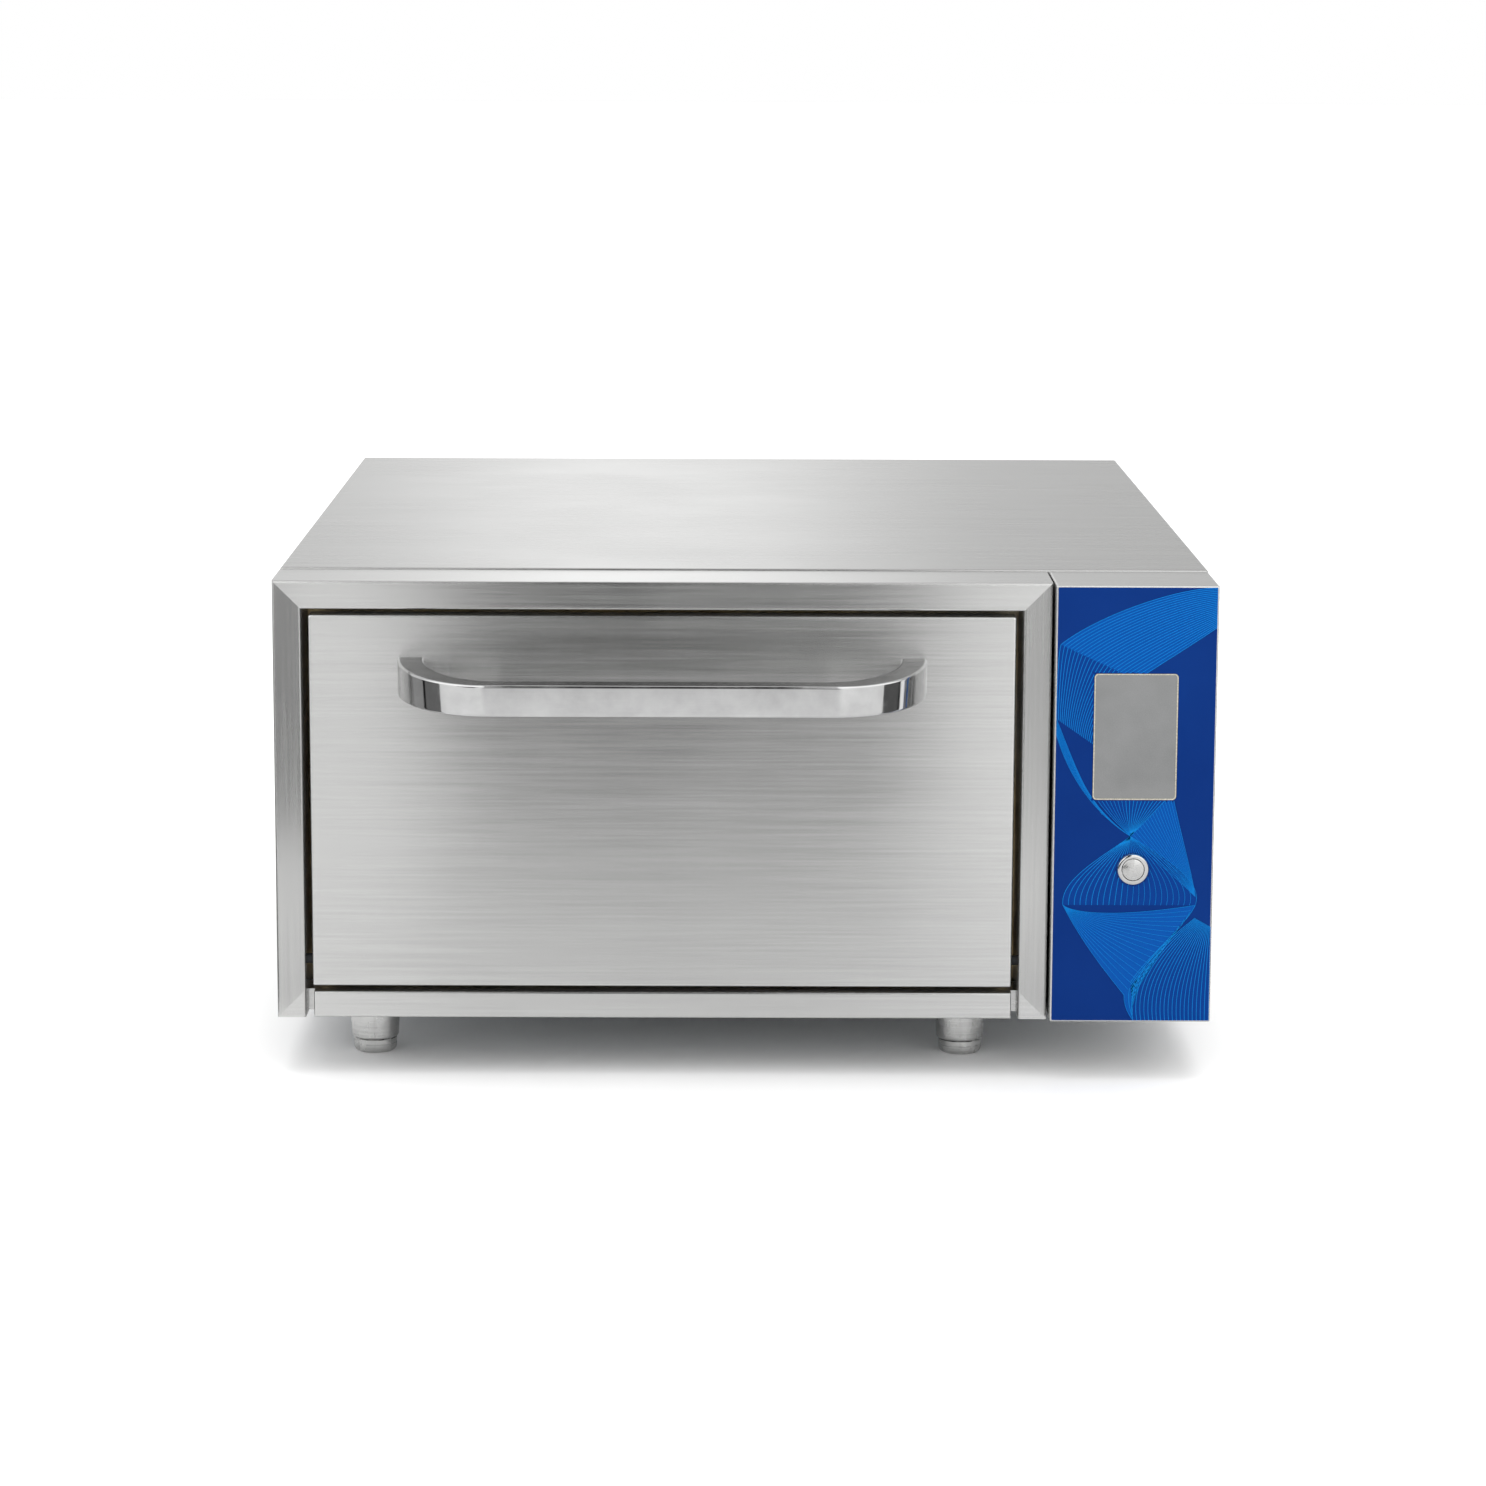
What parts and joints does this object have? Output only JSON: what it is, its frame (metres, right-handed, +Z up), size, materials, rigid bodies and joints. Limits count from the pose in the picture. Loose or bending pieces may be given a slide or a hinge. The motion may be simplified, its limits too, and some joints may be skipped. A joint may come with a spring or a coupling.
{
  "type": "deck oven",
  "caption": "Countertop electric deck oven: stainless casing on levelling feet, drop-down door with bowed handle, hearth chamber, steam flue and a side control column.",
  "frame": {"origin": "bottom centre of the oven's bounding box, on the floor under the feet", "axes": "+X to the right across the front, +Y from the door to the rear, +Z up"},
  "size_m": [0.74, 0.982, 0.3975],
  "materials": {
    "stainless_casing": "horizontal brushed grain",
    "stainless_bezel": "fine brushed grain",
    "stainless_door": "horizontal brushed grain",
    "stainless_hot": "mill finish, heat tinted",
    "galvanised": "galvanised, spangled",
    "polished_steel": "polished",
    "zinc_screws": "zinc plated",
    "steel_feet": "turned satin",
    "bronze": "sintered bronze",
    "element_sheath": "oxidised alloy sheath",
    "refractory": "cast refractory, matt",
    "mineral_wool": "fibrous slab",
    "seal": "braided glass yarn",
    "overlay_film": "printed polyester film",
    "display_cover": "tinted cover, unlit",
    "black_plastic": "moulded, fine grain",
    "grey_plastic": "moulded",
    "circuit_board": "solder mask",
    "cable_sheath": "silicone sheath",
    "plated_brass": "nickel plated"
  },
  "bodies": {
    "casing": {"base_pan": "galvanised", "left_side_panel": "stainless_casing", "right_side_panel": "stainless_casing", "rear_panel": "stainless_casing", "top_cover": "stainless_casing", "bezel_top_rail": "stainless_bezel", "bezel_left_stile": "stainless_bezel", "bezel_right_stile": "stainless_bezel", "bezel_bottom_corners": "stainless_bezel", "sill_channel": "stainless_casing", "lower_apron": "stainless_bezel", "casing_screws": "zinc_screws", "base_plugs": "black_plastic", "mouth_plate": "stainless_hot", "chamber_liner": "stainless_hot", "chamber_insulation": "mineral_wool", "insulation_bulkhead": "galvanised", "control_partition": "galvanised", "stone_rails": "stainless_hot", "hearth_stone": "refractory", "lower_heating_elements": "element_sheath", "upper_heating_elements": "element_sheath", "element_hangers": "stainless_hot", "temperature_probe": "stainless_hot", "door_seal": "seal", "flue_duct": "stainless_casing", "damper_motor": "black_plastic", "hinge_brackets": "galvanised", "hinge_pins": "steel_feet", "control_box": "stainless_bezel", "control_overlay": "overlay_film", "display_lens": "display_cover", "display_module": "circuit_board", "button_housing": "polished_steel", "button_nut": "zinc_screws", "controller_board": "circuit_board", "din_rail": "galvanised", "contactors": "grey_plastic", "terminal_block": "grey_plastic", "cooling_fan_frame": "black_plastic", "fan_guard": "zinc_screws", "cable_gland": "plated_brass", "wiring_harness": "cable_sheath", "foot_legs": "steel_feet"},
    "door": {"door_hinge_blocks": "galvanised", "door_bushes": "bronze", "door_outer_skin": "stainless_door", "door_mid_plate": "galvanised", "door_inner_panel": "stainless_hot", "door_insulation": "mineral_wool", "door_handle": "polished_steel", "door_screws": "zinc_screws"},
    "button": {"button_cap": "polished_steel"},
    "fan_rotor": {"cooling_fan_impeller": "black_plastic"},
    "damper": {"damper_flap": "stainless_casing"},
    "foot_fl": {"foot_insert_front_left": "steel_feet"},
    "foot_rl": {"foot_insert_rear_left": "steel_feet"},
    "foot_fr": {"foot_insert_front_right": "steel_feet"},
    "foot_rr": {"foot_insert_rear_right": "steel_feet"}
  },
  "joints": [
    {"name": "door_hinge", "type": "hinge", "parent": "casing", "child": "door", "pos_m": [-0.0645, -0.41, 0.092], "axis": [1, 0, 0], "range_deg": [0, 90]},
    {"name": "power_button", "type": "slide", "parent": "casing", "child": "button", "axis": [0, 1, 0], "range_m": [0, 0.002], "stiffness_N_per_m": 600, "springref_m": -0.002},
    {"name": "fan_spin", "type": "hinge", "parent": "casing", "child": "fan_rotor", "pos_m": [0.303, 0.447, 0.296], "axis": [0, 1, 0], "continuous": true},
    {"name": "flue_damper", "type": "hinge", "parent": "casing", "child": "damper", "pos_m": [0.06, 0.403, 0.268], "axis": [1, 0, 0], "range_deg": [0, 90]},
    {"name": "foot_level_front_left", "type": "slide", "parent": "casing", "child": "foot_fl", "axis": [0, 0, -1], "range_m": [0, 0.012]},
    {"name": "foot_level_rear_left", "type": "slide", "parent": "casing", "child": "foot_rl", "axis": [0, 0, -1], "range_m": [0, 0.012]},
    {"name": "foot_level_front_right", "type": "slide", "parent": "casing", "child": "foot_fr", "axis": [0, 0, -1], "range_m": [0, 0.012]},
    {"name": "foot_level_rear_right", "type": "slide", "parent": "casing", "child": "foot_rr", "axis": [0, 0, -1], "range_m": [0, 0.012]}
  ]
}
